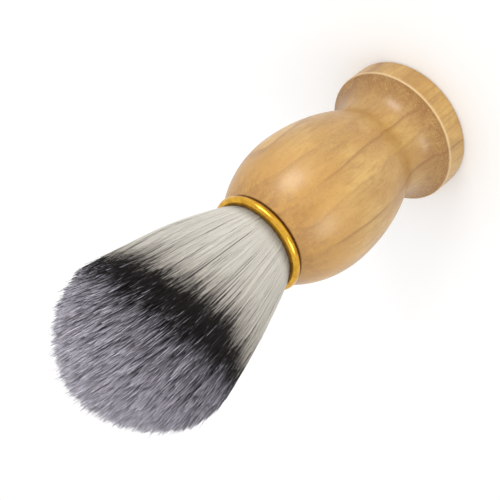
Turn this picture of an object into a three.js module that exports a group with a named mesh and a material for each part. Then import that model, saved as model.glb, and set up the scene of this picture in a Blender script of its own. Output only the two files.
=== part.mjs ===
// A shaving brush: a turned wooden handle, a gold coloured ferrule ring and a domed fibre knot.
// Millimetres, +Z up. The origin is the centre of the foot's flat underside, and +Z is the brush's axis.

import * as THREE from 'three';

// Handle, from the foot up
const FOOT_RADIUS = 16.8;
const FOOT_BASE_CHAMFER = 0.6;
const FOOT_EDGE_CHAMFER = 0.4;
const WAIST_RADIUS = 12.0;
const WAIST_LEVEL = 13.05;
const BULB_RADIUS = 16.9;
const BULB_LEVEL = 35.6;
const BULB_LOWER_ARC_RADIUS = 46.7;
const BULB_UPPER_ARC_RADIUS = 27.1;
const HANDLE_HEIGHT = 52.1;
const MOUTH_LIP_RADIUS = 0.6;

// Blind socket in the handle's mouth
const SOCKET_RADIUS = 10.35;
const SOCKET_DEPTH = 13.0;

// Clearance between neighbours that are glued or pressed together
const FIT_GAP = 0.35;

// Ferrule ring: a thin sleeve with a round bead at its top
const BEAD_RADIUS = 1.1;
const BEAD_CIRCLE_RADIUS = 10.6;
const SLEEVE_WALL = 0.5;
const SLEEVE_LENGTH = 8.8;

// Fibre knot, in heights above the mouth of the handle
const KNOT_ROOT_RADIUS = 9.15;
const KNOT_THROAT_LEVEL = 1.6;
const KNOT_BELLY_RADIUS = 19.1;
const KNOT_BELLY_LEVEL = 35.1;
const KNOT_TIP_LEVEL = 52.4;
const KNOT_FAN_POWER = 1.6;
const KNOT_DOME_POWER = 1.8;

// Root plug, with a groove for the binding thread
const PLUG_RADIUS = 8.9;
const PLUG_HEIGHT = 7.4;
const PLUG_CHAMFER = 0.8;
const GROOVE_DEPTH = 0.9;
const GROOVE_LEVEL = 3.4;
const GROOVE_WIDTH = 3.2;

// Binding thread: a close helix
const THREAD_RADIUS = 0.25;
const THREAD_PITCH = 0.6;
const THREAD_TURNS = 4;
const THREAD_STEPS_PER_TURN = 28;
const THREAD_SIDES = 6;

// Glue bed: a shallow cup under the plug
const GLUE_FLOOR = 0.7;
const GLUE_WALL = 0.75;

// Facets of the turned solids
const TURNED_SIDES = 48;
const ARC_STEPS = 10;
const LIP_STEPS = 3;
const CURVE_STEPS = 14;

// Levels that follow from the sizes above
const SOCKET_FLOOR_LEVEL = HANDLE_HEIGHT - SOCKET_DEPTH;
const GLUE_LEVEL = SOCKET_FLOOR_LEVEL + FIT_GAP;
const PLUG_LEVEL = GLUE_LEVEL + GLUE_FLOOR + FIT_GAP;
const KNOT_ROOT_LEVEL = PLUG_LEVEL + PLUG_HEIGHT + FIT_GAP - HANDLE_HEIGHT;
const BEAD_LEVEL = HANDLE_HEIGHT + FIT_GAP + BEAD_RADIUS;
const SLEEVE_INNER_RADIUS = BEAD_CIRCLE_RADIUS - BEAD_RADIUS;
const GLUE_TOP_LEVEL = BEAD_LEVEL - SLEEVE_LENGTH - FIT_GAP;

// A point of an outline, in the half plane of radius and height that is turned about the axis.
const at = (radius, height) => new THREE.Vector2(radius, height);

// Points along an arc about a centre point, from one angle to another.
function arc(centre, arcRadius, fromAngle, toAngle, steps) {
  const points = [];
  for (let i = 0; i <= steps; i += 1) {
    const angle = THREE.MathUtils.lerp(fromAngle, toAngle, i / steps);
    const offset = at(arcRadius * Math.cos(angle), arcRadius * Math.sin(angle));
    points.push(offset.add(centre));
  }
  return points;
}

// The angle of the line from one point to another.
const bearing = (from, to) => Math.atan2(to.y - from.y, to.x - from.x);

// A solid turned about the Z axis from an outline.
function turned(outline) {
  const geometry = new THREE.LatheGeometry(outline, TURNED_SIDES);
  return geometry.rotateX(Math.PI / 2);
}

function piece(name, geometry, finish) {
  const mesh = new THREE.Mesh(geometry, new THREE.MeshStandardMaterial(finish));
  mesh.name = name;
  return mesh;
}

// The cove is the circle that is narrowest at the waist and touches the bulb's lower arc.
function coveRadius() {
  const rise = BULB_LEVEL - WAIST_LEVEL;
  const reach = WAIST_RADIUS - BULB_RADIUS + BULB_LOWER_ARC_RADIUS;
  const excess = rise ** 2 + reach ** 2 - BULB_LOWER_ARC_RADIUS ** 2;
  return excess / (2 * (BULB_LOWER_ARC_RADIUS - reach));
}

// From the underside's centre, round the foot, up the cove, the bulb and the lip, and down into the socket.
function handleOutline() {
  const cove = coveRadius();
  const coveCentre = at(WAIST_RADIUS + cove, WAIST_LEVEL);
  const lowerCentre = at(BULB_RADIUS - BULB_LOWER_ARC_RADIUS, BULB_LEVEL);
  const upperCentre = at(BULB_RADIUS - BULB_UPPER_ARC_RADIUS, BULB_LEVEL);

  const footEdgeRadius = FOOT_RADIUS - FOOT_EDGE_CHAMFER;
  const footAngle = 2 * Math.PI - Math.acos((footEdgeRadius - coveCentre.x) / cove);
  const footEdgeLevel = WAIST_LEVEL + cove * Math.sin(footAngle);

  const lipLevel = HANDLE_HEIGHT - MOUTH_LIP_RADIUS;
  const lipAngle = Math.asin((lipLevel - BULB_LEVEL) / (BULB_UPPER_ARC_RADIUS - MOUTH_LIP_RADIUS));
  const lipReach = (BULB_UPPER_ARC_RADIUS - MOUTH_LIP_RADIUS) * Math.cos(lipAngle);
  const lipCentre = at(upperCentre.x + lipReach, lipLevel);

  return [
    at(0, 0),
    at(FOOT_RADIUS - FOOT_BASE_CHAMFER, 0),
    at(FOOT_RADIUS, FOOT_BASE_CHAMFER),
    at(FOOT_RADIUS, footEdgeLevel - FOOT_EDGE_CHAMFER),
    ...arc(coveCentre, cove, footAngle, bearing(coveCentre, lowerCentre), ARC_STEPS),
    ...arc(lowerCentre, BULB_LOWER_ARC_RADIUS, bearing(lowerCentre, coveCentre), 0, ARC_STEPS).slice(1),
    ...arc(upperCentre, BULB_UPPER_ARC_RADIUS, 0, lipAngle, ARC_STEPS).slice(1),
    ...arc(lipCentre, MOUTH_LIP_RADIUS, lipAngle, Math.PI / 2, LIP_STEPS).slice(1),
    at(SOCKET_RADIUS, HANDLE_HEIGHT),
    at(SOCKET_RADIUS, SOCKET_FLOOR_LEVEL),
    at(0, SOCKET_FLOOR_LEVEL),
  ];
}

function handle() {
  return piece('handle', turned(handleOutline()), { color: 0xcda56e, roughness: 0.38, metalness: 0 });
}

// The bead's circle touches the sleeve's inner wall, and its underside runs down into the sleeve's outer wall.
function ferruleRing() {
  const beadCentre = at(BEAD_CIRCLE_RADIUS, SLEEVE_LENGTH);
  const outerRadius = SLEEVE_INNER_RADIUS + SLEEVE_WALL;
  const underAngle = -Math.acos((outerRadius - BEAD_CIRCLE_RADIUS) / BEAD_RADIUS);
  const outline = [
    at(SLEEVE_INNER_RADIUS, 0),
    at(outerRadius, 0),
    ...arc(beadCentre, BEAD_RADIUS, underAngle, Math.PI, 2 * ARC_STEPS),
    at(SLEEVE_INNER_RADIUS, 0),
  ];
  const ring = piece('ferrule_ring', turned(outline), { color: 0xc8961e, roughness: 0.25, metalness: 1 });
  ring.position.z = BEAD_LEVEL - SLEEVE_LENGTH;
  return ring;
}

// The fibres leave the throat, fan out to the belly ever more slowly, and end on a dome that is a superellipse.
function bristleKnot() {
  const fan = [];
  const dome = [];
  for (let i = 0; i <= CURVE_STEPS; i += 1) {
    const share = i / CURVE_STEPS;
    const spread = 1 - (1 - share) ** KNOT_FAN_POWER;
    const fanRadius = THREE.MathUtils.lerp(KNOT_ROOT_RADIUS, KNOT_BELLY_RADIUS, spread);
    fan.push(at(fanRadius, THREE.MathUtils.lerp(KNOT_THROAT_LEVEL, KNOT_BELLY_LEVEL, share)));

    const angle = share * Math.PI / 2;
    const domeRadius = KNOT_BELLY_RADIUS * Math.cos(angle) ** (2 / KNOT_DOME_POWER);
    const domeRise = (KNOT_TIP_LEVEL - KNOT_BELLY_LEVEL) * Math.sin(angle) ** (2 / KNOT_DOME_POWER);
    dome.push(at(domeRadius, KNOT_BELLY_LEVEL + domeRise));
  }
  dome[CURVE_STEPS].x = 0;
  const outline = [at(0, KNOT_ROOT_LEVEL), at(KNOT_ROOT_RADIUS, KNOT_ROOT_LEVEL), ...fan, ...dome.slice(1)];
  return piece('bristle_knot', turned(outline), { color: 0xcdc8be, roughness: 0.8, metalness: 0 });
}

// A chamfered disc of resin with a square groove round it.
function rootPlug() {
  const grooveTop = GROOVE_LEVEL + GROOVE_WIDTH;
  const outline = [
    at(0, 0),
    at(PLUG_RADIUS - PLUG_CHAMFER, 0),
    at(PLUG_RADIUS, PLUG_CHAMFER),
    at(PLUG_RADIUS, GROOVE_LEVEL),
    at(PLUG_RADIUS - GROOVE_DEPTH, GROOVE_LEVEL),
    at(PLUG_RADIUS - GROOVE_DEPTH, grooveTop),
    at(PLUG_RADIUS, grooveTop),
    at(PLUG_RADIUS, PLUG_HEIGHT),
    at(0, PLUG_HEIGHT),
  ];
  return piece('root_plug', turned(outline), { color: 0x8a7a52, roughness: 0.3, metalness: 0 });
}

class Helix extends THREE.Curve {
  getPoint(share, target = new THREE.Vector3()) {
    const angle = share * THREAD_TURNS * 2 * Math.PI;
    const radius = PLUG_RADIUS - GROOVE_DEPTH + FIT_GAP + THREAD_RADIUS;
    const rise = (share - 0.5) * THREAD_TURNS * THREAD_PITCH;
    return target.set(radius * Math.cos(angle), radius * Math.sin(angle), rise);
  }
}

// The thread's winding, centred in the plug's groove.
function bindingThread() {
  const section = new THREE.Shape();
  for (let i = 0; i < THREAD_SIDES; i += 1) {
    const angle = i / THREAD_SIDES * 2 * Math.PI;
    const corner = [THREAD_RADIUS * Math.cos(angle), THREAD_RADIUS * Math.sin(angle)];
    if (i === 0) section.moveTo(...corner);
    else section.lineTo(...corner);
  }
  section.closePath();
  const geometry = new THREE.ExtrudeGeometry(section, {
    steps: THREAD_TURNS * THREAD_STEPS_PER_TURN,
    extrudePath: new Helix(),
  });
  const thread = piece('binding_thread', geometry, { color: 0xe6e0d2, roughness: 0.9, metalness: 0 });
  thread.position.z = GROOVE_LEVEL + GROOVE_WIDTH / 2;
  return thread;
}

// A cup of set glue, open at the top, round the plug's foot.
function adhesiveBed() {
  const outerRadius = SOCKET_RADIUS - FIT_GAP;
  const depth = GLUE_TOP_LEVEL - GLUE_LEVEL;
  const outline = [
    at(0, 0),
    at(outerRadius, 0),
    at(outerRadius, depth),
    at(outerRadius - GLUE_WALL, depth),
    at(outerRadius - GLUE_WALL, GLUE_FLOOR),
    at(0, GLUE_FLOOR),
  ];
  const bed = piece('adhesive_bed', turned(outline), { color: 0xd8cfa8, roughness: 0.35, metalness: 0 });
  bed.position.z = GLUE_LEVEL;
  return bed;
}

// The plug and its winding are one unit, as they are before the knot is glued into the handle.
const rootUnit = new THREE.Group();
rootUnit.add(rootPlug(), bindingThread());
rootUnit.position.z = PLUG_LEVEL;

const knot = bristleKnot();
knot.position.z = HANDLE_HEIGHT;

const brush = new THREE.Group();
brush.add(handle(), adhesiveBed(), ferruleRing(), rootUnit, knot);

export default brush;
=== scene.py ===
"""The looks of a shaving brush: a turned wooden handle, a gold ferrule ring and a domed knot of fibres.

Levels and radii are in millimetres, in the frame of the CAD part: +Z is the brush's axis, from the foot's
underside to the tip of the knot. The meshes are made in metres.
"""

import math

import bpy
import numpy as np
from bpy.props import FloatProperty, FloatVectorProperty, IntProperty, PointerProperty
from mathutils import Matrix, Vector


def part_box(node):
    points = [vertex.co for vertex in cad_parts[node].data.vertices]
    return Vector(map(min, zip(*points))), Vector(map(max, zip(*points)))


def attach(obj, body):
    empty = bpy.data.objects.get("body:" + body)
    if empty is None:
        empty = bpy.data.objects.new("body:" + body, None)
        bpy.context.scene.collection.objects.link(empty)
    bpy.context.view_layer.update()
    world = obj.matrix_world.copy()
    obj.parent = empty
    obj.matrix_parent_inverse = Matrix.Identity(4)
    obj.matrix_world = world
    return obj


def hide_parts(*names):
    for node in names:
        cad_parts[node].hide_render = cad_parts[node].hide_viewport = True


bl_info = {
    "name": "Shaving Brush",
    "version": (1, 0, 0),
    "blender": (4, 5, 0),
    "location": "View3D > Sidebar > Brush",
    "description": "Builds the finished look of a shaving brush round its CAD part",
    "category": "Object",
}

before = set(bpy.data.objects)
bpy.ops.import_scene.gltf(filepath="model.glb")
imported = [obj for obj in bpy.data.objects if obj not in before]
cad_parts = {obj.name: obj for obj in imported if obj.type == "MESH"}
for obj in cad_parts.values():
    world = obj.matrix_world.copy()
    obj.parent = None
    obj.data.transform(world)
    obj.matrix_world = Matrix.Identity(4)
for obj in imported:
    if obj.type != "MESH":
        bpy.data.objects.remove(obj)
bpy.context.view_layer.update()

MM = 0.001
FULL_TURN = 2.0 * math.pi
QUARTER_TURN = math.pi / 2.0

# A point nearer to the axis than this lies on it
ON_AXIS = 1e-6

# Handle outline
FOOT_RADIUS = 16.8
FOOT_BASE_ROUND = 0.6
FOOT_EDGE_ROUND = 0.4
WAIST_RADIUS = 12.0
WAIST_LEVEL = 13.05
BULB_RADIUS = 16.9
BULB_LEVEL = 35.6
BULB_LOWER_ARC = 46.7
BULB_UPPER_ARC = 27.1
MOUTH_LEVEL = 52.25
MOUTH_ROUND = 0.6
SOCKET_RADIUS = 10.35
SOCKET_DEPTH = 13.0

# Painted highlight along the foot's upper edge: its strength and the distance over which it fades
EDGE_HIGHLIGHT_SHARE = 0.45
EDGE_HIGHLIGHT_WIDTH = 0.26

# Growth rings of the wood, which follow each other along X
PITH_DISTANCE = 58.4
RING_WIDTH = 6.2
RING_CURVE = 0.006
RING_WANDER = 5.0

# Ferrule ring
BEAD_ROUND = 1.1
BEAD_CIRCLE_RADIUS = 10.6
SLEEVE_WALL = 0.5

# Knot of fibres
KNOT_ROOT_LEVEL = 50.0
THROAT_LEVEL = 53.7
THROAT_RADIUS = 10.07
FAN_REACH = 25.0
FAN_RATE = 0.0142
PINCH_DEPTH = 0.65
PINCH_HEIGHT = 1.6
BELLY_RADIUS = 19.04
BELLY_LEVEL = 86.8
BELLY_POWER = 1.33
TIP_LEVEL = 104.5
DOME_POWER = 1.75

# Colour bands of the knot: levels on the axis and how far they tilt across the belly
BLACK_LEVEL = 78.85
BLACK_TILT = 6.0
BLACK_TILT_ANGLE = math.radians(350.0)
BLACK_LOWEST = 78.5
LILAC_LEVEL = 84.0
LILAC_TILT = 9.1
LILAC_TILT_ANGLE = math.radians(300.0)
BLACK_LEAST_HEIGHT = 5.0

# How single fibres change colour above or below those levels; early ones run far into the band below
BLACK_SHIFT = 1.9
BLACK_SPREAD = 0.8
BLACK_TAIL = 2.5
EARLY_BLACK_SHARE = 0.05
EARLY_BLACK_REACH = (3.0, 24.0)
LILAC_SPREAD = 1.3
EARLY_LILAC_SHARE = 0.07
EARLY_LILAC_REACH = (2.0, 8.0)

# Lean of the knot: factors of the first and higher powers of the rise over the span
LEAN_SPAN = 50.0
LEAN_X = (-3.648, 1.166, 2.051)
LEAN_Y = (0.181, -0.672)

# Flat bow of the knot's side that faces +X
BOW_SHARE = 0.036
BOW_END_LEVEL = 95.0
BOW_POWER = 1.15

# Tufts: waves across the knot, their shortest and greatest length, and how far they lift the tips
TUFT_SEED = 11
TUFT_WAVES = 14
TUFT_LENGTHS = (1.4, 4.0)
TUFT_LIFT = 0.25

# Section of one fibre, the direction that its corners are set out from, and its thickness
FIBRE_SIDES = 3
FIBRE_REFERENCE = (0.6, 0.8, 0.0)
WIDTH_RANGE = (0.75, 1.2)
TIP_TAPER = 0.45
TAPER_POWER = 6

# Fibres that stray more than the others, and the random drift and crimp of all
STRAY_SHARE = 0.04
STRAY_TIPS = (-1.5, 1.4)
STRAY_EXTRA_DRIFT = 2.0
DRIFT_SPREAD = 0.22
CRIMP_LENGTHS = (9.0, 24.0)
CRIMP_DEPTHS = (0.03, 0.22)
CRIMP_POWER = 1.5

# Pieces of fibres: shares of the fan's radius, greatest length and steps along each fibre
MANTLE_PIECES = 4
MANTLE_SEED = 101
MANTLE_SHARES = (0.92, 1.0)
OUTERMOST_SHARES = (0.985, 1.0)
MANTLE_LENGTH = 60.0
MANTLE_STEPS = 11
DOME_PIECES = 3
DOME_SEED = 201
DOME_SHARES = (0.0, 0.94)
DOME_LENGTH = 12.0
DOME_STEPS = 6

# Packed inside of the knot
CORE_SHARE = 0.93
CORE_DROP = 4.5
CORE_DROP_LEVEL = 70.0
CORE_FOLD = 0.02
# The core's darker tone and its share of near black are painted shade of the knot's depth
CORE_SHADE = 0.3
CORE_PAINTED_SHADE = 0.08

# Camera: place, downward pitch and roll about its own line of sight
CAMERA_PLACE = (-0.12, -179.7, 165.65)
CAMERA_PITCH = math.radians(31.45)
CAMERA_ROLL = math.radians(231.39)
LENS_TO_FRAME = 2.0

# Floor, lights and sky
FLOOR_RADIUS = 3000.0
LIGHT_TARGET = (0.0, 0.0, 50.0)
LIGHT_SIZE = 450.0
KEY_PLACE = (680.0, -760.0, 110.0)
KEY_WATTS = 7.5
FILL_PLACE = (-700.0, -680.0, 110.0)
FILL_WATTS = 3.6
SKY_STRENGTH = 1.07


class BrushSettings(bpy.types.PropertyGroup):
    """Sizes, counts and colours of the pieces."""

    turned_sides: IntProperty(
        name="Turned sides", description="Sides of every turned surface", default=192, min=24
    )
    mantle_fibres: IntProperty(
        name="Mantle fibres", description="Full length fibres round the knot's side", default=12000, min=30
    )
    dome_fibres: IntProperty(
        name="Dome fibres", description="Fibre ends that form the knot's dome", default=13500, min=30
    )
    mantle_width: FloatProperty(
        name="Mantle fibre width",
        description="Thickness of a full length fibre",
        default=0.11 * MM,
        unit="LENGTH",
    )
    dome_width: FloatProperty(
        name="Dome fibre width",
        description="Thickness of a fibre of the dome",
        default=0.125 * MM,
        unit="LENGTH",
    )
    tip_spread: FloatProperty(
        name="Tip spread", description="How unevenly the fibres end", default=0.6 * MM, unit="LENGTH"
    )
    tuft_pull: FloatProperty(
        name="Tuft pull", description="How far tips lean together into tufts", default=0.3 * MM, unit="LENGTH"
    )
    wood_colour: FloatVectorProperty(
        name="Wood colour",
        description="Lightest wood of the handle",
        subtype="COLOR",
        default=(0.47, 0.288, 0.085),
    )
    ring_colour: FloatVectorProperty(
        name="Ring colour",
        description="Clean plating of the ring",
        subtype="COLOR",
        default=(0.7, 0.39, 0.045),
    )
    cream_colour: FloatVectorProperty(
        name="Cream colour",
        description="Lowest band of the knot",
        subtype="COLOR",
        default=(0.63, 0.605, 0.55),
    )
    black_colour: FloatVectorProperty(
        name="Black colour",
        description="Middle band of the knot",
        subtype="COLOR",
        default=(0.024, 0.019, 0.017),
    )
    lilac_colour: FloatVectorProperty(
        name="Lilac colour",
        description="Tips of the fibres",
        subtype="COLOR",
        default=(0.77, 0.735, 0.82),
    )


# Outlines and surfaces


def arc(centre, radius, start, end, count):
    """Points (radius, level) on a circle: centre + radius (cos a, sin a), with a from start to end."""
    angles = np.linspace(start, end, count)
    return np.column_stack((centre[0] + radius * np.cos(angles), centre[1] + radius * np.sin(angles)))


def straight(start, end, count):
    """Evenly spaced points (radius, level) from start to end."""
    return np.linspace(start, end, count)


def bearing(start, end):
    """The angle of the line from one point to another."""
    return math.atan2(end[1] - start[1], end[0] - start[0])


def turned_surface(outline, sides):
    """Turn an outline about +Z: (r, z) at angle a becomes (r cos a, r sin a, z).

    End points on the axis become single poles. An outline that starts and ends off the axis is closed on
    itself.
    """
    on_axis = outline[:, 0] < ON_AXIS
    rings = outline[~on_axis]
    angles = np.arange(sides) * FULL_TURN / sides
    points = np.empty((len(rings), sides, 3))
    points[..., 0] = rings[:, :1] * np.cos(angles)
    points[..., 1] = rings[:, :1] * np.sin(angles)
    points[..., 2] = rings[:, 1:]
    index = np.arange(len(rings) * sides).reshape(len(rings), sides)
    if not on_axis.any():
        index = np.vstack((index, index[:1]))
    turned = np.roll(index, -1, axis=1)
    quads = np.stack((index[:-1], turned[:-1], turned[1:], index[1:]), axis=-1).reshape(-1, 4)
    faces = [quads]
    points = points.reshape(-1, 3)
    if on_axis[0]:
        pole = np.full(sides, len(points))
        faces.append(np.stack((pole, turned[0], index[0]), axis=-1))
        points = np.vstack((points, (0.0, 0.0, outline[0, 1])))
    if on_axis[-1]:
        pole = np.full(sides, len(points))
        faces.append(np.stack((pole, index[-1], turned[-1]), axis=-1))
        points = np.vstack((points, (0.0, 0.0, outline[-1, 1])))
    return points, faces


def tubes(paths, widths, sides, reference):
    """Closed tubes along paths: each point P gets a ring P + w/2 (u cos a + v sin a).

    The direction u is square to the path and to the reference, and v is square to the path and to u.
    """
    count, steps = paths.shape[:2]
    heading = np.gradient(paths, axis=1)
    heading /= np.linalg.norm(heading, axis=-1, keepdims=True)
    across = np.cross(heading, reference)
    across /= np.linalg.norm(across, axis=-1, keepdims=True)
    beside = np.cross(heading, across)
    angles = np.arange(sides) * FULL_TURN / sides
    spokes = across[:, :, None] * np.cos(angles)[:, None] + beside[:, :, None] * np.sin(angles)[:, None]
    points = paths[:, :, None] + 0.5 * widths[:, :, None, None] * spokes
    index = np.arange(count * steps * sides).reshape(count, steps, sides)
    turned = np.roll(index, -1, axis=2)
    walls = np.stack((index[:, :-1], turned[:, :-1], turned[:, 1:], index[:, 1:]), axis=-1).reshape(-1, 4)
    root_caps = index[:, 0, ::-1]
    tip_caps = index[:, -1]
    return points.reshape(-1, 3), [walls, root_caps, tip_caps]


def mesh_object(name, surface, finish):
    """A smooth mesh object from points and faces in millimetres."""
    points, faces = surface
    corners = np.concatenate([group.ravel() for group in faces])
    sizes = np.concatenate([np.full(len(group), group.shape[1]) for group in faces])
    mesh = bpy.data.meshes.new(name)
    mesh.vertices.add(len(points))
    mesh.vertices.foreach_set("co", (points * MM).astype(np.float32).ravel())
    mesh.loops.add(len(corners))
    mesh.loops.foreach_set("vertex_index", corners.astype(np.int32))
    mesh.polygons.add(len(sizes))
    mesh.polygons.foreach_set("loop_start", (np.cumsum(sizes) - sizes).astype(np.int32))
    mesh.update(calc_edges=True)
    mesh.shade_smooth()
    mesh.materials.append(finish)
    made = bpy.data.objects.new(name, mesh)
    bpy.context.scene.collection.objects.link(made)
    return made


def build_piece(name, surface, finish, covers, marks=None):
    """Make a piece that covers a CAD node; marks are values at its points for the material."""
    piece = mesh_object(name, surface, finish)
    for mark, values in (marks or {}).items():
        attribute = piece.data.attributes.new(mark, "FLOAT", "POINT")
        attribute.data.foreach_set("value", values.astype(np.float32))
    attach(piece, "root")
    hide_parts(covers)
    return piece


def node_levels(node):
    """The lowest and highest level of a CAD node, in millimetres."""
    low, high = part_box(node)
    return low.z / MM, high.z / MM


def node_radius(node):
    """The outer radius of a round CAD node, in millimetres."""
    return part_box(node)[1].x / MM


# Material helpers


class Finish:
    """A node material under construction, with short ways to add nodes."""

    def __init__(self, name):
        self.material = bpy.data.materials.new(name)
        self.material.use_nodes = True
        self.tree = self.material.node_tree
        self.tree.nodes.clear()
        self.shader = self.add("ShaderNodeBsdfPrincipled")
        output = self.add("ShaderNodeOutputMaterial")
        self.tree.links.new(self.shader.outputs["BSDF"], output.inputs["Surface"])

    def add(self, kind, **settings):
        """A new node with its settings."""
        node = self.tree.nodes.new(kind)
        for setting, value in settings.items():
            setattr(node, setting, value)
        return node

    def feed(self, socket, value):
        """Link an output to the socket, or set a constant."""
        if isinstance(value, bpy.types.NodeSocket):
            self.tree.links.new(value, socket)
        else:
            socket.default_value = value

    def places(self):
        """The Object coordinates in millimetres."""
        coordinates = self.add("ShaderNodeTexCoord").outputs["Object"]
        return self.stretch(coordinates, (1 / MM, 1 / MM, 1 / MM))

    def stretch(self, vector, scale):
        """The vector times a scale for each axis."""
        node = self.add("ShaderNodeVectorMath", operation="MULTIPLY")
        self.feed(node.inputs[0], vector)
        node.inputs[1].default_value = scale
        return node.outputs["Vector"]

    def vector(self, x, y, z):
        """A vector from three values."""
        node = self.add("ShaderNodeCombineXYZ")
        for socket, value in zip(node.inputs, (x, y, z)):
            self.feed(socket, value)
        return node.outputs["Vector"]

    def split(self, vector):
        """The three parts of a vector."""
        node = self.add("ShaderNodeSeparateXYZ")
        self.feed(node.inputs[0], vector)
        return node.outputs["X"], node.outputs["Y"], node.outputs["Z"]

    def calculate(self, operation, first, second=0.0, third=0.0):
        """One step of arithmetic."""
        node = self.add("ShaderNodeMath", operation=operation)
        for socket, value in zip(node.inputs, (first, second, third)):
            self.feed(socket, value)
        return node.outputs["Value"]

    def noise(self, vector, scale, detail=3.0, roughness=0.55):
        """Soft noise around one half."""
        node = self.add("ShaderNodeTexNoise")
        self.feed(node.inputs["Vector"], vector)
        node.inputs["Scale"].default_value = scale
        node.inputs["Detail"].default_value = detail
        node.inputs["Roughness"].default_value = roughness
        return node.outputs["Fac"]

    def ramp(self, value, low, high, start=0.0, end=1.0):
        """A smooth rise from start to end as the value goes from low to high."""
        node = self.add("ShaderNodeMapRange", interpolation_type="SMOOTHSTEP")
        sockets = ("Value", "From Min", "From Max", "To Min", "To Max")
        for socket, item in zip(sockets, (value, low, high, start, end)):
            self.feed(node.inputs[socket], item)
        return node.outputs["Result"]

    def blend(self, share, first, second):
        """The first colour turning into the second."""
        node = self.add("ShaderNodeMix", data_type="RGBA")
        self.feed(node.inputs["Factor"], share)
        for socket, colour in zip((node.inputs[6], node.inputs[7]), (first, second)):
            self.feed(socket, (*colour, 1.0) if isinstance(colour, tuple) else colour)
        return node.outputs[2]

    def mark(self, name):
        """A value stored at the mesh's points."""
        return self.add("ShaderNodeAttribute", attribute_name=name).outputs["Fac"]

    def bump(self, height, depth):
        """A normal raised by a height map of the given depth in millimetres."""
        node = self.add("ShaderNodeBump")
        node.inputs["Strength"].default_value = 1.0
        node.inputs["Distance"].default_value = depth * MM
        self.feed(node.inputs["Height"], height)
        return node.outputs["Normal"]

    def shade(self, **inputs):
        """Set inputs of the shader; underscores stand for spaces."""
        for name, value in inputs.items():
            self.feed(self.shader.inputs[name.replace("_", " ")], value)
        return self.material


# Materials


def growth_rings(finish, places):
    """Late wood and the dark line at the end of each growth ring, both from 0 to 1.

    A ring's number and phase are the whole part and the fraction of
    (x + wander + curve times y squared + pith distance) / ring width.
    Every other line is faint, and each line's strength changes along the handle.
    """
    x, y, z = finish.split(places)
    wander = finish.noise(finish.stretch(places, (0.12, 0.12, 0.03)), 1.0, 2.0)
    wander = finish.calculate("MULTIPLY", finish.calculate("SUBTRACT", wander, 0.5), RING_WANDER)
    curved = finish.calculate(
        "MULTIPLY_ADD", finish.calculate("MULTIPLY", y, y), RING_CURVE, finish.calculate("ADD", x, wander)
    )
    rings = finish.calculate("DIVIDE", finish.calculate("ADD", curved, PITH_DISTANCE), RING_WIDTH)
    phase = finish.calculate("FRACT", rings)
    number = finish.calculate("FLOOR", rings)
    late_wood = finish.calculate(
        "MULTIPLY", finish.ramp(phase, 0.2, 0.93), finish.ramp(phase, 0.93, 1.0, 1.0, 0.0)
    )
    line = finish.calculate(
        "MULTIPLY", finish.ramp(phase, 0.78, 0.93), finish.ramp(phase, 0.93, 0.99, 1.0, 0.0)
    )
    strength = finish.noise(finish.vector(number, 0.0, finish.calculate("MULTIPLY", z, 0.03)), 1.7, 1.0)
    line = finish.calculate("MULTIPLY", line, finish.ramp(strength, 0.3, 0.55))
    odd_ring = finish.calculate("MODULO", number, 2.0)
    line = finish.calculate("MULTIPLY", line, finish.calculate("MULTIPLY_ADD", odd_ring, 0.8, 0.2))
    return late_wood, line


def with_end_grain(finish, colour, mottle, flecks):
    """The wood's colour, darker in patches where the grain is cut across, with pale flecks there that are
    painted sparkle highlights.
    """
    end_grain = finish.mark("end_grain")
    patchy = finish.calculate("MULTIPLY", end_grain, finish.ramp(mottle, 0.35, 0.65, 1.25, 0.55))
    colour = finish.blend(finish.ramp(patchy, 0.05, 0.95, 0.0, 0.75), colour, (0.24, 0.105, 0.022))
    # Pale flecks where the grain is cut across: painted sparkle highlights
    painted_sparkle = finish.calculate(
        "MULTIPLY", finish.ramp(end_grain, 0.55, 0.85), finish.ramp(flecks, 0.48, 0.68)
    )
    return finish.blend(finish.calculate("MULTIPLY", painted_sparkle, 0.5), colour, (0.6, 0.36, 0.13))


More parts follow.
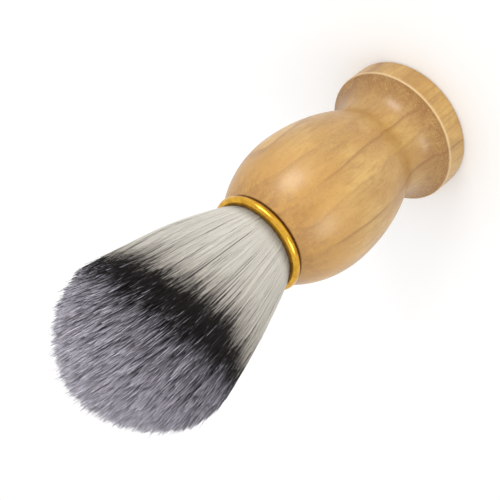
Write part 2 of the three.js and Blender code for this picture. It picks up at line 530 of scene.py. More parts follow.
def wood_finish(settings):
    """Honey coloured turned wood under clear lacquer, with growth rings, pores, blotches and end grain.

    It is warmer near the mouth, with a painted highlight along the foot's upper edge and painted shadow under
    the ring.
    """
    finish = Finish("turned_wood")
    places = finish.places()
    z = finish.split(places)[2]
    late_wood, line = growth_rings(finish, places)
    blotch = finish.noise(finish.stretch(places, (0.16, 0.16, 0.07)), 1.0, 3.0, 0.6)
    mottle = finish.noise(finish.stretch(places, (0.55, 0.55, 0.25)), 1.0, 4.0, 0.7)
    streak = finish.noise(finish.stretch(places, (1.6, 1.6, 0.09)), 1.0, 3.0, 0.65)
    pores = finish.noise(finish.stretch(places, (5.5, 5.5, 1.6)), 1.0, 3.0, 0.7)
    flecks = finish.noise(finish.stretch(places, (2.4, 2.4, 1.6)), 1.0, 5.0, 0.8)

    colour = finish.blend(finish.ramp(blotch, 0.35, 0.65), tuple(settings.wood_colour), (0.38, 0.208, 0.05))
    colour = finish.blend(finish.ramp(mottle, 0.42, 0.68, 0.0, 0.4), colour, (0.3, 0.16, 0.042))
    colour = finish.blend(finish.ramp(streak, 0.45, 0.7, 0.0, 0.4), colour, (0.25, 0.128, 0.037))
    colour = finish.blend(finish.ramp(z, 32.0, 48.0, 0.0, 0.6), colour, (0.5, 0.26, 0.048))
    colour = finish.blend(finish.calculate("MULTIPLY", late_wood, 0.22), colour, (0.26, 0.14, 0.045))
    colour = finish.blend(finish.calculate("MULTIPLY", line, 0.62), colour, (0.22, 0.092, 0.02))
    colour = finish.blend(finish.ramp(pores, 0.54, 0.74, 0.0, 0.4), colour, (0.17, 0.08, 0.026))
    colour = finish.blend(finish.ramp(flecks, 0.5, 0.72, 0.0, 0.3), colour, (0.58, 0.38, 0.16))
    colour = with_end_grain(finish, colour, mottle, flecks)
    # Painted highlight along the foot's upper edge
    colour = finish.blend(finish.mark("foot_edge_highlight"), colour, (0.8, 0.6, 0.34))
    # Painted shadow in the gap under the ring: the wood turns near black at the mouth
    painted_gap_shadow = finish.ramp(z, MOUTH_LEVEL - 0.2, MOUTH_LEVEL, 0.0, 0.8)
    colour = finish.blend(painted_gap_shadow, colour, (0.05, 0.02, 0.006))

    tool_marks = finish.noise(finish.vector(0.0, 0.0, z), 2.6, 3.0, 0.7)
    relief = finish.calculate("MULTIPLY_ADD", tool_marks, 0.5, finish.calculate("MULTIPLY", pores, -0.35))
    relief = finish.calculate("MULTIPLY_ADD", flecks, 0.35, relief)
    return finish.shade(
        Base_Color=colour,
        Roughness=finish.ramp(mottle, 0.25, 0.75, 0.4, 0.55),
        Normal=finish.bump(relief, 0.09),
        Specular_IOR_Level=0.35,
        Coat_Weight=0.45,
        Coat_Roughness=0.27,
        Coat_IOR=1.5,
    )


def gold_finish(settings):
    """Bright gold plating with fine marks that run round the ring."""
    finish = Finish("bright_gold")
    places = finish.places()
    x, y, z = finish.split(places)
    squares = finish.calculate("MULTIPLY_ADD", x, x, finish.calculate("MULTIPLY", y, y))
    radius = finish.calculate("SQRT", squares)
    round_marks = finish.vector(
        finish.calculate("MULTIPLY_ADD", radius, 18.0, finish.calculate("MULTIPLY", x, 0.25)),
        finish.calculate("MULTIPLY", y, 0.25),
        finish.calculate("MULTIPLY", z, 18.0),
    )
    lines = finish.noise(round_marks, 1.0, 3.0, 0.6)
    tarnish = finish.noise(finish.stretch(places, (0.5, 0.5, 0.5)), 1.0, 4.0, 0.6)
    colour = finish.blend(finish.ramp(tarnish, 0.35, 0.75), tuple(settings.ring_colour), (0.46, 0.23, 0.022))
    rough = finish.calculate(
        "ADD", finish.ramp(lines, 0.3, 0.7, 0.14, 0.23), finish.ramp(tarnish, 0.4, 0.8, 0.0, 0.12)
    )
    return finish.shade(Base_Color=colour, Metallic=1.0, Roughness=rough, Normal=finish.bump(lines, 0.006))


def cream_band(finish, settings, places, level, above_cream):
    """Cream fibres: a little greyer in patches, brown towards the black band, with painted shade just above
    the ring.
    """
    tuft = finish.noise(finish.stretch(places, (0.5, 0.5, 0.07)), 1.0, 3.0, 0.6)
    cream = finish.blend(finish.mark("shade"), (0.575, 0.548, 0.487), tuple(settings.cream_colour))
    cream = finish.blend(finish.ramp(tuft, 0.5, 0.8, 0.0, 0.1), cream, (0.5, 0.475, 0.42))
    cream = finish.blend(finish.ramp(above_cream, -7.0, -0.5, 0.0, 0.45), cream, (0.33, 0.27, 0.235))
    # Painted shade of the ring: the cream darkens to brown just above it
    return finish.blend(finish.ramp(level, 54.2, 59.0, 0.8, 0.0), cream, (0.2, 0.165, 0.12))


def lilac_band(finish, settings, above_black):
    """Lilac tips, which differ more from fibre to fibre near the black band than far above it."""
    shade = finish.mark("shade")
    light = tuple(settings.lilac_colour)
    near = finish.blend(finish.calculate("MULTIPLY", shade, shade), (0.1, 0.09, 0.11), light)
    far = finish.blend(shade, (0.21, 0.195, 0.225), light)
    return finish.blend(finish.ramp(above_black, 2.0, 15.0), near, far)


def fibre_finish(settings, name, painted_shade_share):
    """Nylon fibre in three colours along its length; painted_shade_share is the share of near black painted
    over them all as shade.

    The bands change where the level, made uneven by noise, passes the levels marked on the fibre.
    """
    finish = Finish(name)
    places = finish.places()
    level = finish.mark("level")
    streaks = finish.noise(finish.stretch(places, (3.8, 3.8, 0.05)), 1.0, 3.0, 0.75)
    patches = finish.noise(finish.stretch(places, (0.3, 0.3, 0.05)), 1.0, 1.0, 0.5)
    uneven = finish.calculate("MULTIPLY_ADD", finish.calculate("SUBTRACT", streaks, 0.5), 11.0, level)
    rough_level = finish.calculate("MULTIPLY_ADD", finish.calculate("SUBTRACT", patches, 0.5), 4.0, uneven)
    above_cream = finish.calculate("SUBTRACT", rough_level, finish.mark("black_from"))
    above_black = finish.calculate("SUBTRACT", rough_level, finish.mark("lilac_from"))
    # Lilac only in the last few millimetres of each fibre: partly the dye, partly painted shade of the depth
    # between the fibres
    tip_dye_and_depth_shade = finish.ramp(finish.mark("below_tip"), 1.6, 6.0, 1.0, 0.08)
    lilac_share = finish.calculate("MULTIPLY", finish.ramp(above_black, -2.2, 2.8), tip_dye_and_depth_shade)

    black = finish.blend(finish.mark("shade"), (0.005, 0.004, 0.004), tuple(settings.black_colour))
    cream = cream_band(finish, settings, places, level, above_cream)
    colour = finish.blend(finish.ramp(above_cream, -1.2, 1.2), cream, black)
    colour = finish.blend(lilac_share, colour, lilac_band(finish, settings, above_black))
    # Painted shade: near black over all colours, by the given share
    colour = finish.blend(painted_shade_share, colour, (0.01, 0.009, 0.009))
    strands = finish.noise(finish.stretch(places, (7.0, 7.0, 0.4)), 1.0, 2.0, 0.6)
    return finish.shade(
        Base_Color=colour,
        Roughness=finish.ramp(strands, 0.3, 0.7, 0.6, 0.8),
        Normal=finish.bump(strands, 0.004),
        Specular_IOR_Level=0.25,
    )


def resin_finish():
    """Amber casting resin with small bubbles and cloudy patches."""
    finish = Finish("amber_resin")
    places = finish.places()
    cloud = finish.noise(places, 0.35, 4.0, 0.6)
    bubbles = finish.noise(places, 2.4, 2.0, 0.5)
    colour = finish.blend(finish.ramp(cloud, 0.35, 0.7), (0.32, 0.22, 0.09), (0.2, 0.13, 0.05))
    colour = finish.blend(finish.ramp(bubbles, 0.62, 0.7, 0.0, 0.5), colour, (0.5, 0.4, 0.22))
    return finish.shade(
        Base_Color=colour,
        Roughness=finish.ramp(cloud, 0.3, 0.7, 0.22, 0.38),
        Normal=finish.bump(bubbles, 0.08),
        Coat_Weight=0.3,
    )


def thread_finish():
    """Waxed thread: fuzzy twisted plies with patches of wax."""
    finish = Finish("twisted_thread")
    places = finish.places()
    fuzz = finish.noise(places, 9.0, 3.0, 0.7)
    wax = finish.noise(places, 0.8, 3.0, 0.6)
    colour = finish.blend(finish.ramp(fuzz, 0.3, 0.7), (0.82, 0.77, 0.66), (0.64, 0.57, 0.44))
    return finish.shade(
        Base_Color=colour,
        Roughness=finish.ramp(wax, 0.35, 0.7, 0.5, 0.85),
        Normal=finish.bump(fuzz, 0.03),
        Sheen_Weight=0.15,
    )


def glue_finish():
    """Set epoxy glue: milky yellow, with trapped air."""
    finish = Finish("milky_glue")
    places = finish.places()
    cloud = finish.noise(places, 0.5, 4.0, 0.65)
    air = finish.noise(places, 3.2, 2.0, 0.5)
    colour = finish.blend(finish.ramp(cloud, 0.35, 0.7), (0.72, 0.66, 0.44), (0.58, 0.5, 0.28))
    colour = finish.blend(finish.ramp(air, 0.64, 0.72, 0.0, 0.5), colour, (0.86, 0.82, 0.68))
    return finish.shade(
        Base_Color=colour,
        Roughness=finish.ramp(cloud, 0.3, 0.7, 0.25, 0.42),
        Normal=finish.bump(air, 0.06),
    )


def floor_finish():
    """Plain pale matt floor with the faintest unevenness."""
    finish = Finish("pale_floor")
    places = finish.places()
    cloud = finish.noise(places, 0.004, 2.0, 0.5)
    grain = finish.noise(places, 0.9, 2.0, 0.5)
    return finish.shade(
        Base_Color=finish.blend(cloud, (0.94, 0.94, 0.94), (0.92, 0.92, 0.92)),
        Roughness=finish.ramp(grain, 0.3, 0.7, 0.75, 0.85),
        Normal=finish.bump(grain, 0.01),
        Specular_IOR_Level=0.2,
    )


# Turned pieces


def handle_outline():
    """From the underside's centre, round the foot, up the cove, bulb and lip, and down into the socket.

    The cove is the circle that is narrowest at the waist and touches the bulb's lower arc.
    """
    rise = BULB_LEVEL - WAIST_LEVEL
    reach = WAIST_RADIUS - BULB_RADIUS + BULB_LOWER_ARC
    cove = (rise**2 + reach**2 - BULB_LOWER_ARC**2) / (2.0 * (BULB_LOWER_ARC - reach))
    cove_centre = (WAIST_RADIUS + cove, WAIST_LEVEL)
    lower_centre = (BULB_RADIUS - BULB_LOWER_ARC, BULB_LEVEL)

    edge_reach = FOOT_RADIUS - FOOT_EDGE_ROUND
    foot_angle = FULL_TURN - math.acos((edge_reach - cove_centre[0]) / cove)
    edge_level = WAIST_LEVEL + cove * math.sin(foot_angle)
    edge_centre = (edge_reach, edge_level - FOOT_EDGE_ROUND)
    base_centre = (FOOT_RADIUS - FOOT_BASE_ROUND, FOOT_BASE_ROUND)

    lip_level = MOUTH_LEVEL - MOUTH_ROUND
    lip_angle = math.asin((lip_level - BULB_LEVEL) / (BULB_UPPER_ARC - MOUTH_ROUND))
    lip_reach = BULB_RADIUS - BULB_UPPER_ARC + (BULB_UPPER_ARC - MOUTH_ROUND) * math.cos(lip_angle)
    socket_floor = MOUTH_LEVEL - SOCKET_DEPTH
    return np.vstack((
        straight((0.0, 0.0), (base_centre[0], 0.0), 8)[:-1],
        arc(base_centre, FOOT_BASE_ROUND, -QUARTER_TURN, 0.0, 8),
        straight((FOOT_RADIUS, FOOT_BASE_ROUND), (FOOT_RADIUS, edge_centre[1]), 12)[1:-1],
        arc(edge_centre, FOOT_EDGE_ROUND, 0.0, QUARTER_TURN, 7),
        arc(cove_centre, cove, foot_angle, bearing(cove_centre, lower_centre), 48)[1:],
        arc(lower_centre, BULB_LOWER_ARC, bearing(lower_centre, cove_centre), 0.0, 40)[1:],
        arc((BULB_RADIUS - BULB_UPPER_ARC, BULB_LEVEL), BULB_UPPER_ARC, 0.0, lip_angle, 40)[1:],
        arc((lip_reach, lip_level), MOUTH_ROUND, lip_angle, QUARTER_TURN, 8)[1:],
        straight((SOCKET_RADIUS, MOUTH_LEVEL), (SOCKET_RADIUS, socket_floor), 8),
        straight((SOCKET_RADIUS, socket_floor), (0.0, socket_floor), 6)[1:],
    ))


def over_surface(values, outline, sides):
    """Values at an outline's points, repeated for the points of the surface that is turned from it."""
    on_axis = outline[:, 0] < ON_AXIS
    return np.concatenate((np.repeat(values[~on_axis], sides), values[on_axis]))


def end_grain_share(outline, sides):
    """How far each point of a turned surface faces along the grain: the share of its normal along Z."""
    slope = np.gradient(outline, axis=0)
    share = np.abs(slope[:, 0]) / np.maximum(np.linalg.norm(slope, axis=1), 1e-9)
    return over_surface(share, outline, sides)


def make_handle(settings):
    """The turned handle: the outline (r, z) carried round the axis.

    The painted highlight along the foot's upper edge is a bell curve of the distance from that edge, where 2
    r + z is greatest.
    """
    sides = settings.turned_sides
    outline = handle_outline()
    foot = outline[outline[:, 1] < WAIST_LEVEL]
    edge = foot[np.argmax(foot @ (2.0, 1.0))]
    from_edge = np.linalg.norm(outline - edge, axis=1)
    edge_highlight = EDGE_HIGHLIGHT_SHARE * np.exp(-((from_edge / EDGE_HIGHLIGHT_WIDTH) ** 2))
    marks = {
        "end_grain": end_grain_share(outline, sides),
        "foot_edge_highlight": over_surface(edge_highlight, outline, sides),
    }
    surface = turned_surface(outline, sides)
    build_piece("turned_handle", surface, wood_finish(settings), "handle", marks)


def make_ring(settings):
    """The ferrule ring: a round bead on a thin sleeve that goes down into the socket."""
    low, high = node_levels("ferrule_ring")
    centre = (BEAD_CIRCLE_RADIUS, high - BEAD_ROUND)
    inner = BEAD_CIRCLE_RADIUS - BEAD_ROUND
    outer = inner + SLEEVE_WALL
    under = -math.acos((outer - BEAD_CIRCLE_RADIUS) / BEAD_ROUND)
    outline = np.vstack((
        straight((inner, low), (outer, low), 4)[:-1],
        straight((outer, low), (outer, centre[1] + BEAD_ROUND * math.sin(under)), 12)[:-1],
        arc(centre, BEAD_ROUND, under, math.pi, 40),
        straight((inner, centre[1]), (inner, low), 12)[1:-1],
    ))
    surface = turned_surface(outline, settings.turned_sides)
    build_piece("gold_ring", surface, gold_finish(settings), "ferrule_ring")


def make_plug(settings):
    """The cast plug that holds the fibre roots: a rounded disc with a groove round it."""
    low, high = node_levels("root_plug")
    radius = node_radius("root_plug")
    thread_low, thread_high = node_levels("binding_thread")
    rim = 0.7
    groove_round = 0.3
    groove_depth = 0.9
    thread_room = 0.15
    groove_radius = radius - groove_depth
    groove_low = thread_low - thread_room
    groove_high = thread_high + thread_room
    outline = np.vstack((
        straight((0.0, low), (radius - rim, low), 8)[:-1],
        arc((radius - rim, low + rim), rim, -QUARTER_TURN, 0.0, 8),
        arc((radius - groove_round, groove_low - groove_round), groove_round, 0.0, QUARTER_TURN, 5),
        straight((groove_radius, groove_low), (groove_radius, groove_high), 6),
        arc((radius - groove_round, groove_high + groove_round), groove_round, -QUARTER_TURN, 0.0, 5),
        arc((radius - rim, high - rim), rim, 0.0, QUARTER_TURN, 8),
        straight((radius - rim, high), (0.0, high), 8)[1:],
    ))
    surface = turned_surface(outline, settings.turned_sides)
    build_piece("resin_plug", surface, resin_finish(), "root_plug")


def make_glue(settings):
    """The set glue round the plug's foot: a shallow cup with an uneven top edge.

    The edge dips from its full height by two waves round the axis, sin 5a and sin 11a.
    """
    low, high = node_levels("adhesive_bed")
    radius = node_radius("adhesive_bed")
    wall = 0.75
    floor = 0.7
    rim = wall / 2.0
    slow_wave = 0.12
    fast_wave = 0.07
    outline = np.vstack((
        straight((0.0, low), (radius, low), 8),
        straight((radius, low), (radius, high - rim), 10)[1:-1],
        arc((radius - rim, high - rim), rim, 0.0, math.pi, 9),
        straight((radius - wall, high - rim), (radius - wall, low + floor), 8)[1:],
        straight((radius - wall, low + floor), (0.0, low + floor), 8)[1:],
    ))
    points, faces = turned_surface(outline, settings.turned_sides)
    angle = np.arctan2(points[:, 1], points[:, 0])
    height_share = np.clip((points[:, 2] - low - floor) / (high - low - floor), 0.0, 1.0)
    waves = slow_wave * np.sin(5 * angle) + fast_wave * np.sin(11 * angle)
    points[:, 2] += height_share * (waves - slow_wave - fast_wave)
    build_piece("glue_bed", (points, faces), glue_finish(), "adhesive_bed")


def make_thread():
    """The binding thread: three plies, each a small helix carried along the large helix of the winding."""
    low, high = node_levels("binding_thread")
    thread_radius = 0.25
    turns = 4.0
    ply_offset = 0.11
    ply_width = 0.25
    twist_length = 1.4
    ply_count = 3
    ply_sides = 6
    steps = 900
    radius = node_radius("binding_thread") - thread_radius
    along = np.linspace(0.0, 1.0, steps)
    angle = along * turns * FULL_TURN
    plies = np.arange(ply_count)[:, None] * FULL_TURN / ply_count
    twist = plies + angle * radius * FULL_TURN / twist_length
    reach = radius + ply_offset * np.cos(twist)
    level = low + thread_radius + (high - low - 2 * thread_radius) * along + ply_offset * np.sin(twist)
    paths = np.stack((reach * np.cos(angle), reach * np.sin(angle), level), axis=-1)
    widths = np.full(paths.shape[:2], ply_width)
    surface = tubes(paths, widths, ply_sides, (0.0, 0.0, 1.0))
    build_piece("wound_thread", surface, thread_finish(), "binding_thread")


# The knot


def fan_radius(level):
    """Radius of the outermost fibre at a level.

    It opens from the throat as reach times (1 - e to the power -rate times rise), less a pinch by the ring
    that is a bell curve of the rise.
    """
    rise = level - THROAT_LEVEL
    pinch = PINCH_DEPTH * np.exp(-((rise / PINCH_HEIGHT) ** 2))
    return THROAT_RADIUS + FAN_REACH * (1.0 - np.exp(-FAN_RATE * rise)) - pinch


def envelope_radius(level):
    """Radius of the knot's outline: a fan that closes towards the belly, then a superellipse dome."""
    open_share = np.clip((BELLY_LEVEL - level) / (BELLY_LEVEL - THROAT_LEVEL), 0.0, 1.0)
    fan = BELLY_RADIUS - (BELLY_RADIUS - THROAT_RADIUS) * open_share**BELLY_POWER
    dome_share = np.clip((level - BELLY_LEVEL) / (TIP_LEVEL - BELLY_LEVEL), 0.0, 1.0)
    return fan * (1.0 - dome_share**DOME_POWER) ** (1.0 / DOME_POWER)


def tip_level(share):
    """Level at which a fibre that runs at this share of the fan's radius meets the knot's outline.

    It is read back from the ratio of the two radii, sampled from below the belly to the tip.
    """
    lowest_tip = 80.0
    levels = np.linspace(lowest_tip, TIP_LEVEL, 600)
    shares = np.minimum.accumulate(np.minimum(envelope_radius(levels) / fan_radius(levels), 1.0))
    return np.interp(share, shares[::-1], levels[::-1])


def lean(level):
    """How far the knot leans off the axis at a level: cubic in x and square in y."""
    rise = (level - THROAT_LEVEL) / LEAN_SPAN
    lean_x = LEAN_X[0] * rise + LEAN_X[1] * rise**2 + LEAN_X[2] * rise**3
    lean_y = LEAN_Y[0] * rise + LEAN_Y[1] * rise**2
    return lean_x, lean_y


def bow(angle, level):
    """Share by which the side that faces +X is fuller near the ring and flatter near the belly.

    With the rise from 0 at the throat to 1 where the bow ends, it is the sine of a full turn times the rise
    to the bow's power.
    """
    rise = np.clip((level - THROAT_LEVEL) / (BOW_END_LEVEL - THROAT_LEVEL), 0.0, 1.0)
    return BOW_SHARE * np.maximum(np.cos(angle), 0.0) * np.sin(FULL_TURN * rise**BOW_POWER)


def band_levels(x, y):
    """Levels at which the black and the lilac begin: planes that tilt across the knot.

    The black begins no lower than its lowest level, and has its least height below the lilac.
    """
    black = BLACK_LEVEL + BLACK_TILT / BELLY_RADIUS * (
        x * math.cos(BLACK_TILT_ANGLE) + y * math.sin(BLACK_TILT_ANGLE)
    )
    lilac = LILAC_LEVEL + LILAC_TILT / BELLY_RADIUS * (
        x * math.cos(LILAC_TILT_ANGLE) + y * math.sin(LILAC_TILT_ANGLE)
    )
    black = np.maximum(black, BLACK_LOWEST)
    return black, np.maximum(lilac, black + BLACK_LEAST_HEIGHT)


def tufts(places):
    """Pull into tufts and height of the tufts at places (x, y), both about one in size.

    The height is a sum of cosines of random heading and length, and the pull is along its slope.
    """
    rng = np.random.default_rng(TUFT_SEED)
    headings = rng.uniform(0.0, FULL_TURN, TUFT_WAVES)
    lengths = rng.uniform(*TUFT_LENGTHS, TUFT_WAVES)
    units = np.stack((np.cos(headings), np.sin(headings)))
    phases = places @ (units * FULL_TURN / lengths) + rng.uniform(0.0, FULL_TURN, TUFT_WAVES)
    size = math.sqrt(TUFT_WAVES / 2.0)
    return -np.sin(phases) @ units.T / size, np.cos(phases).sum(axis=1) / size


def fibre_tips(settings, rng, share, stray, tuft_height):
    """Level of each fibre's tip: on the knot's outline, lifted with its tuft, and uneven by chance."""
    spread = settings.tip_spread / MM
    tip = tip_level(share) + rng.normal(0.0, spread, len(share)) + TUFT_LIFT * tuft_height
    return tip + stray * rng.uniform(*STRAY_TIPS, len(share))


def fibre_paths(settings, rng, share, angle, stray, pull, level):
    """Points along each fibre: its share of the fan's radius at its own angle, then sway, crimp and lean.

    The sway, from the tuft's pull and random drift, grows as the square of the height. The crimp is a sine
    along the fibre, sideways and inward, that grows as the height to the crimp's power.
    """
    count = len(share)
    outward = np.stack((np.cos(angle), np.sin(angle)), axis=-1)
    sideways = np.stack((-np.sin(angle), np.cos(angle)), axis=-1)
    height = np.clip((level - THROAT_LEVEL) / (TIP_LEVEL - THROAT_LEVEL), 0.0, 1.0)
    drift = rng.normal(0.0, DRIFT_SPREAD, (count, 2)) * (1.0 + STRAY_EXTRA_DRIFT * stray[:, None])
    sway = pull * settings.tuft_pull / MM + drift
    radius = share[:, None] * fan_radius(level) * (1.0 + bow(angle[:, None], level))
    place = radius[..., None] * outward[:, None] + height[..., None] ** 2 * sway[:, None]
    phases = rng.uniform(0.0, FULL_TURN, (2, count, 1))
    lengths = rng.uniform(*CRIMP_LENGTHS, (2, count, 1))
    across, inward = np.sin(level / lengths * FULL_TURN + phases)
    crimp = rng.uniform(*CRIMP_DEPTHS, (count, 1)) * height**CRIMP_POWER
    place = place + (crimp * across)[..., None] * sideways[:, None]
    place = place + (crimp * (inward - 1.0))[..., None] * outward[:, None]
    lean_x, lean_y = lean(level)
    return np.stack((place[..., 0] + lean_x, place[..., 1] + lean_y, level), axis=-1)


def fibre_bands(rng, places):
    """Levels at which each fibre turns black and lilac: those of the knot at its place, shifted by chance."""
    count = len(places)
    black, lilac = band_levels(places[:, 0], places[:, 1])
    black = black + rng.normal(BLACK_SHIFT, BLACK_SPREAD, count) - rng.exponential(BLACK_TAIL, count)
    black = black - (rng.random(count) < EARLY_BLACK_SHARE) * rng.uniform(*EARLY_BLACK_REACH, count)
    lilac = lilac + rng.normal(0.0, LILAC_SPREAD, count)
    lilac = lilac - (rng.random(count) < EARLY_LILAC_SHARE) * rng.uniform(*EARLY_LILAC_REACH, count)
    return black, lilac


def fibre_piece(name, settings, rng, count, width, shares, reach, steps):
    """One piece of fibres: thin tubes that narrow towards the tip, spread evenly over the knot's section."""
    share = np.sqrt(rng.uniform(shares[0] ** 2, shares[1] ** 2, count))
    angle = rng.uniform(0.0, FULL_TURN, count)
    stray = rng.random(count) < STRAY_SHARE
    places = share[:, None] * BELLY_RADIUS * np.stack((np.cos(angle), np.sin(angle)), axis=-1)
    pull, tuft_height = tufts(places)
    tip = fibre_tips(settings, rng, share, stray, tuft_height)
    root = np.maximum(tip - reach, KNOT_ROOT_LEVEL)
    along = np.linspace(0.0, 1.0, steps)
    level = root[:, None] + (tip - root)[:, None] * along
    paths = fibre_paths(settings, rng, share, angle, stray, pull, level)

    taper = 1.0 - TIP_TAPER * along**TAPER_POWER
    widths = width / MM * rng.uniform(*WIDTH_RANGE, (count, 1)) * taper
    black, lilac = fibre_bands(rng, places)
    along_fibre = {"level": level, "below_tip": tip[:, None] - level}
    whole_fibre = {"shade": rng.random(count), "black_from": black, "lilac_from": lilac}
    marks = {mark: np.repeat(value, FIBRE_SIDES) for mark, value in along_fibre.items()}
    marks.update((mark, np.repeat(value, steps * FIBRE_SIDES)) for mark, value in whole_fibre.items())
    surface = tubes(paths, widths, FIBRE_SIDES, FIBRE_REFERENCE)
    build_piece(name, surface, shared_fibre_finish(settings), "bristle_knot", marks)


def shared_fibre_finish(settings):
    """The one material that all loose fibres share."""
    return bpy.data.materials.get("banded_fibres") or fibre_finish(settings, "banded_fibres", 0.0)


def make_core(settings):
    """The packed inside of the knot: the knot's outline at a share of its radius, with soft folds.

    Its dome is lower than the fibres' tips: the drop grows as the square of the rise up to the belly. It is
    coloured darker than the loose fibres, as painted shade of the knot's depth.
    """
    levels = np.concatenate((
        np.linspace(node_levels("bristle_knot")[0], KNOT_ROOT_LEVEL, 3)[:-1],
        np.linspace(KNOT_ROOT_LEVEL, TIP_LEVEL, 110),
    ))
    drop_share = np.clip((levels - CORE_DROP_LEVEL) / (BELLY_LEVEL - CORE_DROP_LEVEL), 0.0, 1.0)
    drop = CORE_DROP * drop_share**2
    radii = CORE_SHARE * np.minimum(envelope_radius(levels), fan_radius(levels))
    outline = np.column_stack((np.maximum(radii, 0.0), levels - drop))
    outline[-1, 0] = 0.0
    outline = np.vstack(((0.0, outline[0, 1]), outline))
    points, faces = turned_surface(outline, settings.turned_sides)
    height = np.clip((points[:, 2] - THROAT_LEVEL) / (TIP_LEVEL - THROAT_LEVEL), 0.0, 1.0)
    radial = np.maximum(np.linalg.norm(points[:, :2], axis=1, keepdims=True), ON_AXIS)
    folds = tufts(points[:, :2] / radial * BELLY_RADIUS)[0][:, :1]
    points[:, :2] *= 1.0 + CORE_FOLD * height[:, None] * folds
    black, lilac = band_levels(points[:, 0], points[:, 1])
    # A darker tone and a depth below the tips that keeps the lilac short: painted shade of the knot's depth
    marks = {
        "level": points[:, 2].copy(),
        "shade": np.full(len(points), CORE_SHADE),
        "black_from": black,
        "lilac_from": lilac,
        "below_tip": np.full(len(points), CORE_DROP),
    }
    points[:, :2] *= 1.0 + bow(np.arctan2(points[:, 1], points[:, 0]), points[:, 2])[:, None]
    lean_x, lean_y = lean(points[:, 2])
    points[:, 0] += lean_x
    points[:, 1] += lean_y
    finish = fibre_finish(settings, "packed_fibre_painted_shade", CORE_PAINTED_SHADE)
    build_piece("knot_core", (points, faces), finish, "bristle_knot", marks)


def make_mantle(settings):
    """The full length fibres round the knot's side, in several pieces. Those of the last lie outermost."""
    count = settings.mantle_fibres // MANTLE_PIECES
    for number in range(1, MANTLE_PIECES + 1):
        rng = np.random.default_rng(MANTLE_SEED + number - 1)
        shares = OUTERMOST_SHARES if number == MANTLE_PIECES else MANTLE_SHARES
        fibre_piece(
            f"mantle_fibres_{number}", settings, rng, count, settings.mantle_width,
            shares, MANTLE_LENGTH, MANTLE_STEPS,
        )


def make_dome(settings):
    """The upper ends of the inner fibres, which form the dome, in several pieces."""
    count = settings.dome_fibres // DOME_PIECES
    for number in range(1, DOME_PIECES + 1):
        rng = np.random.default_rng(DOME_SEED + number - 1)
        fibre_piece(
            f"dome_fibres_{number}", settings, rng, count, settings.dome_width,
            DOME_SHARES, DOME_LENGTH, DOME_STEPS,
        )


# Stage


def soft_light(name, place, watts):
    """A square soft light at a place in millimetres, aimed at the middle of the brush."""
    data = bpy.data.lights.new(name, "AREA")
    data.energy = watts
    data.size = LIGHT_SIZE * MM
    light = bpy.data.objects.new(name, data)
    middle = Vector(LIGHT_TARGET) * MM
    light.location = Vector(place) * MM
    light.rotation_euler = (middle - light.location).to_track_quat("-Z", "Y").to_euler()
    bpy.context.scene.collection.objects.link(light)
    return light


def make_camera():
    """A camera that looks down by the pitch and is rolled about its line of sight."""
    data = bpy.data.cameras.new("view_camera")
    data.sensor_width = 36.0
    data.lens = LENS_TO_FRAME * data.sensor_width
    camera = bpy.data.objects.new("view_camera", data)
    turn = Matrix.Rotation(QUARTER_TURN - CAMERA_PITCH, 4, "X") @ Matrix.Rotation(CAMERA_ROLL, 4, "Z")
    camera.matrix_world = Matrix.Translation(Vector(CAMERA_PLACE) * MM) @ turn
    bpy.context.scene.collection.objects.link(camera)
    bpy.context.scene.camera = camera


def make_stage():
    """A pale floor as a wide disc, soft light and the camera."""
    disc = turned_surface(straight((FLOOR_RADIUS, 0.0), (0.0, 0.0), 25), 96)
    floor = mesh_object("floor", disc, floor_finish())
    key = soft_light("key_light", KEY_PLACE, KEY_WATTS)
    fill = soft_light("fill_light", FILL_PLACE, FILL_WATTS)
    world = bpy.data.worlds.new("studio")
    world.use_nodes = True
    sky = world.node_tree.nodes["Background"]
    sky.inputs["Color"].default_value = (1.0, 1.0, 1.0, 1.0)
    sky.inputs["Strength"].default_value = SKY_STRENGTH
    bpy.context.scene.world = world
    bpy.context.scene.view_settings.view_transform = "Standard"
    make_camera()


# Operators


class SHAVING_BRUSH_OT_handle(bpy.types.Operator):
    """Build the turned wooden handle"""

    bl_idname = "shaving_brush.handle"
    bl_label = "Handle"
    bl_options = {"REGISTER", "UNDO"}

    def execute(self, context):
        make_handle(context.scene.shaving_brush)
        return {"FINISHED"}


class SHAVING_BRUSH_OT_ring(bpy.types.Operator):
    """Build the gold ferrule ring"""

    bl_idname = "shaving_brush.ring"
    bl_label = "Ferrule Ring"
    bl_options = {"REGISTER", "UNDO"}

    def execute(self, context):
        make_ring(context.scene.shaving_brush)
        return {"FINISHED"}


class SHAVING_BRUSH_OT_plug(bpy.types.Operator):
    """Build the resin plug that holds the fibre roots"""

    bl_idname = "shaving_brush.plug"
    bl_label = "Root Plug"
    bl_options = {"REGISTER", "UNDO"}

    def execute(self, context):
        make_plug(context.scene.shaving_brush)
        return {"FINISHED"}


class SHAVING_BRUSH_OT_thread(bpy.types.Operator):
    """Build the thread wound round the plug"""

    bl_idname = "shaving_brush.thread"
    bl_label = "Binding Thread"
    bl_options = {"REGISTER", "UNDO"}

    def execute(self, context):
        make_thread()
        return {"FINISHED"}


class SHAVING_BRUSH_OT_glue(bpy.types.Operator):
    """Build the glue that holds the plug in the socket"""

    bl_idname = "shaving_brush.glue"
    bl_label = "Adhesive Bed"
    bl_options = {"REGISTER", "UNDO"}

    def execute(self, context):
        make_glue(context.scene.shaving_brush)
        return {"FINISHED"}


class SHAVING_BRUSH_OT_core(bpy.types.Operator):
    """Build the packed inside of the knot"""

    bl_idname = "shaving_brush.core"
    bl_label = "Knot Core"
    bl_options = {"REGISTER", "UNDO"}

    def execute(self, context):
        make_core(context.scene.shaving_brush)
        return {"FINISHED"}


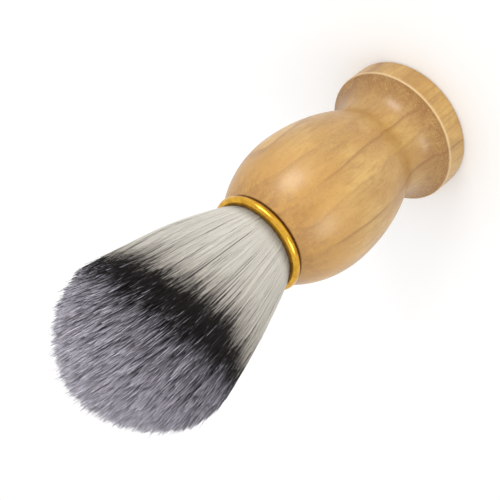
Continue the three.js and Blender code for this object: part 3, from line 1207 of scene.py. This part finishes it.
class SHAVING_BRUSH_OT_mantle(bpy.types.Operator):
    """Build the full length fibres round the knot"""

    bl_idname = "shaving_brush.mantle"
    bl_label = "Mantle Fibres"
    bl_options = {"REGISTER", "UNDO"}

    def execute(self, context):
        make_mantle(context.scene.shaving_brush)
        return {"FINISHED"}


class SHAVING_BRUSH_OT_dome(bpy.types.Operator):
    """Build the fibre ends of the dome"""

    bl_idname = "shaving_brush.dome"
    bl_label = "Dome Fibres"
    bl_options = {"REGISTER", "UNDO"}

    def execute(self, context):
        make_dome(context.scene.shaving_brush)
        return {"FINISHED"}


class SHAVING_BRUSH_OT_stage(bpy.types.Operator):
    """Set up the floor, the lights and the camera"""

    bl_idname = "shaving_brush.stage"
    bl_label = "Stage"

    def execute(self, context):
        make_stage()
        return {"FINISHED"}


OPERATORS = (
    SHAVING_BRUSH_OT_handle,
    SHAVING_BRUSH_OT_ring,
    SHAVING_BRUSH_OT_plug,
    SHAVING_BRUSH_OT_thread,
    SHAVING_BRUSH_OT_glue,
    SHAVING_BRUSH_OT_core,
    SHAVING_BRUSH_OT_mantle,
    SHAVING_BRUSH_OT_dome,
    SHAVING_BRUSH_OT_stage,
)


class SHAVING_BRUSH_PT_panel(bpy.types.Panel):
    """The brush's sizes and colours, and its pieces in the order in which they are built."""

    bl_label = "Shaving Brush"
    bl_idname = "SHAVING_BRUSH_PT_panel"
    bl_space_type = "VIEW_3D"
    bl_region_type = "UI"
    bl_category = "Brush"

    def draw(self, context):
        for name in BrushSettings.__annotations__:
            self.layout.prop(context.scene.shaving_brush, name)
        for operator in OPERATORS:
            self.layout.operator(operator.bl_idname)


CLASSES = (BrushSettings, *OPERATORS, SHAVING_BRUSH_PT_panel)


def register():
    """Register the classes and hang the settings on the scene."""
    for item in CLASSES:
        bpy.utils.register_class(item)
    bpy.types.Scene.shaving_brush = PointerProperty(type=BrushSettings)


def unregister():
    """Undo what register did."""
    del bpy.types.Scene.shaving_brush
    for item in reversed(CLASSES):
        bpy.utils.unregister_class(item)


def main():
    """Build every piece and the stage."""
    register()
    for operator in OPERATORS:
        area, name = operator.bl_idname.split(".")
        getattr(getattr(bpy.ops, area), name)()


if __name__ == "__main__":
    main()
